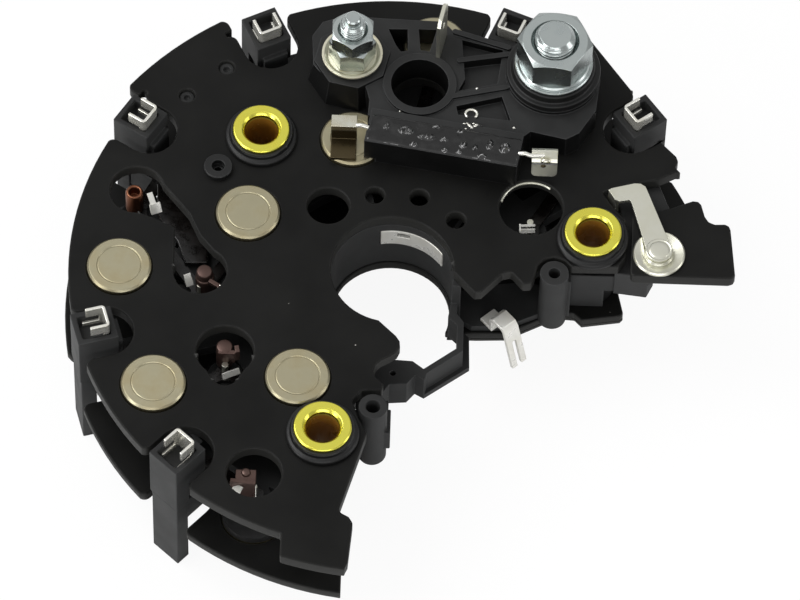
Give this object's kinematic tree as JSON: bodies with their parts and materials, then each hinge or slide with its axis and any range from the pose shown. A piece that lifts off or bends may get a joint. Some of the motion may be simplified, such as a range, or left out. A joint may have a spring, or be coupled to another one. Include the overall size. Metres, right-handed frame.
{
  "type": "alternator rectifier",
  "caption": "Horseshoe-shaped bridge rectifier of an alternator: two stacked heat sinks with press-fit diodes, a moulded frame with lead towers and a terminal block with two studs.",
  "frame": {"origin": "on the rotor shaft axis, at the plane of the six tower feet", "axes": "+Z along the shaft axis, from the feet towards the studs; +Y from the shaft axis towards the terminal block; +X towards the separate end piece"},
  "size_m": [0.1316, 0.1322, 0.0531],
  "materials": {
    "heat_sink": "satin black coating",
    "backing": "satin black coating",
    "frame_plastic": "fine moulded texture",
    "block_plastic": "fine moulded texture",
    "insulator_plastic": "smooth",
    "diode_case": "nickel plated, satin",
    "bushing_metal": "yellow passivated, satin",
    "zinc_steel": "bright zinc plated",
    "dished_steel": "nickel plated",
    "tinned_sheet": "tinned, bright",
    "copper": "bare copper, dull",
    "potting": "glossy"
  },
  "bodies": {
    "root": {"upper_heat_sink": "heat_sink", "lower_heat_sink": "heat_sink", "auxiliary_heat_sink": "heat_sink", "backing_sheet": "backing", "terminal_frame": "frame_plastic", "shaft_collar": "frame_plastic", "frame_boss": "frame_plastic", "end_carrier": "frame_plastic", "lead_tower_1": "frame_plastic", "lead_tower_2": "frame_plastic", "lead_tower_3": "frame_plastic", "lead_tower_4": "frame_plastic", "lead_tower_5": "frame_plastic", "lead_tower_6": "frame_plastic", "upper_diode_1": "diode_case", "upper_diode_2": "diode_case", "upper_diode_3": "diode_case", "upper_diode_4": "diode_case", "upper_diode_5": "diode_case", "upper_diode_6": "diode_case", "lower_diode_1": "diode_case", "lower_diode_2": "diode_case", "lower_diode_3": "diode_case", "lower_diode_4": "diode_case", "lower_diode_5": "diode_case", "lower_diode_6": "diode_case", "bushing_1": "bushing_metal", "bushing_2": "bushing_metal", "bushing_3": "bushing_metal", "insulator_1": "insulator_plastic", "insulator_2": "insulator_plastic", "insulator_3": "insulator_plastic", "lead_clip_1": "tinned_sheet", "lead_clip_2": "tinned_sheet", "lead_clip_3": "tinned_sheet", "lead_clip_4": "tinned_sheet", "lead_clip_5": "tinned_sheet", "lead_clip_6": "tinned_sheet", "phase_bar_1": "copper", "phase_bar_2": "copper", "phase_bar_3": "copper", "terminal_block": "block_plastic", "large_stud": "zinc_steel", "large_nut": "zinc_steel", "large_washer": "zinc_steel", "small_stud": "zinc_steel", "small_nut": "zinc_steel", "lower_nut": "zinc_steel", "insulating_disc": "insulator_plastic", "dished_washer": "dished_steel", "blade_terminal": "tinned_sheet", "capacitor": "potting", "capacitor_tab_1": "tinned_sheet", "capacitor_tab_2": "tinned_sheet", "link_strap": "tinned_sheet", "auxiliary_diode": "diode_case", "collar_contact": "tinned_sheet", "fork_terminal": "tinned_sheet", "locating_pin": "insulator_plastic", "heat_sink_stakes": "frame_plastic"}
  },
  "joints": []
}
